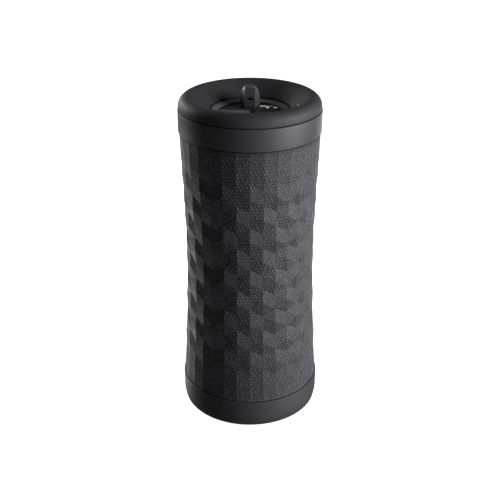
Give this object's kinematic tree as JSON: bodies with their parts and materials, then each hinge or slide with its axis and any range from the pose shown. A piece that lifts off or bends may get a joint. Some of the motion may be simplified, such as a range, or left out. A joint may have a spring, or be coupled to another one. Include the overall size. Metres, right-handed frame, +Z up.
{
  "type": "portable bluetooth speaker",
  "caption": "Upright cylindrical portable speaker with a faceted cloth sleeve, soft top rim, turning dial with a thumb tab, and a flap over the rear sockets.",
  "frame": {"origin": "centre of the footprint, on the surface the speaker stands on", "axes": "+Z up along the cylinder, -Y towards the front, +X to the right"},
  "size_m": [0.075, 0.075, 0.1764],
  "materials": {
    "moulded_plastic": "fine moulded grain, charcoal",
    "soft_rubber": "matt elastomer, charcoal",
    "woven_cloth": "tight weave, pressed into facets",
    "plated_steel": "plated",
    "turned_brass": "turned",
    "gloss_window": "polished black",
    "board_laminate": "solder mask",
    "pressed_paper": "coated paper pulp",
    "wrapped_can": "shrink-wrapped metal can",
    "black_package": "moulded package"
  },
  "bodies": {
    "speaker": {"base_cup": "moulded_plastic", "lower_bulkhead": "moulded_plastic", "aux_socket": "moulded_plastic", "grille_core": "moulded_plastic", "chassis_box": "moulded_plastic", "battery_cradle": "moulded_plastic", "upper_bulkhead": "moulded_plastic", "rotary_encoder": "moulded_plastic", "top_frame": "moulded_plastic", "collar_ring": "moulded_plastic", "well_cup": "moulded_plastic", "bezel_plate": "moulded_plastic", "dial_ring": "moulded_plastic", "rubber_foot": "soft_rubber", "rim_seal": "soft_rubber", "rim_bumper": "soft_rubber", "grille_sleeve": "woven_cloth", "base_screw_1": "plated_steel", "base_screw_2": "plated_steel", "base_screw_3": "plated_steel", "base_screw_4": "plated_steel", "usb_socket": "plated_steel", "driver_front_frame": "plated_steel", "driver_rear_frame": "plated_steel", "driver_front_magnet": "plated_steel", "driver_rear_magnet": "plated_steel", "dial_bush": "turned_brass", "status_window": "gloss_window", "port_board": "board_laminate", "main_board": "board_laminate", "battery_cell_left": "wrapped_can", "battery_cell_right": "wrapped_can", "radio_module": "black_package", "amplifier_chip": "black_package"},
    "dial": {"dial_disc": "moulded_plastic", "dial_shaft": "plated_steel", "dial_clip": "plated_steel", "thumb_tab": "moulded_plastic"},
    "port_flap": {"port_cover": "soft_rubber"},
    "front_cone": {"driver_front_cone": "pressed_paper", "driver_front_surround": "soft_rubber"},
    "rear_cone": {"driver_rear_cone": "pressed_paper", "driver_rear_surround": "soft_rubber"},
    "front_radiator": {"radiator_front_plate": "plated_steel", "radiator_front_surround": "soft_rubber"},
    "rear_radiator": {"radiator_rear_plate": "plated_steel", "radiator_rear_surround": "soft_rubber"}
  },
  "joints": [
    {"name": "dial_turn", "type": "hinge", "parent": "speaker", "child": "dial", "pos_m": [0, 0, 0.165], "axis": [0, 0, 1], "range_deg": [-60, 60]},
    {"name": "port_flap_swing", "type": "hinge", "parent": "speaker", "child": "port_flap", "pos_m": [0, 0.0373, 0.0055], "axis": [-1, 0, 0], "range_deg": [0, 110]},
    {"name": "front_cone_stroke", "type": "slide", "parent": "speaker", "child": "front_cone", "axis": [0, -1, 0], "range_m": [-0.0015, 0.0015], "stiffness_N_per_m": 800},
    {"name": "rear_cone_stroke", "type": "slide", "parent": "speaker", "child": "rear_cone", "axis": [0, 1, 0], "range_m": [-0.0015, 0.0015], "stiffness_N_per_m": 800},
    {"name": "front_radiator_stroke", "type": "slide", "parent": "speaker", "child": "front_radiator", "axis": [0, -1, 0], "range_m": [-0.002, 0.002], "stiffness_N_per_m": 600},
    {"name": "rear_radiator_stroke", "type": "slide", "parent": "speaker", "child": "rear_radiator", "axis": [0, 1, 0], "range_m": [-0.002, 0.002], "stiffness_N_per_m": 600}
  ]
}
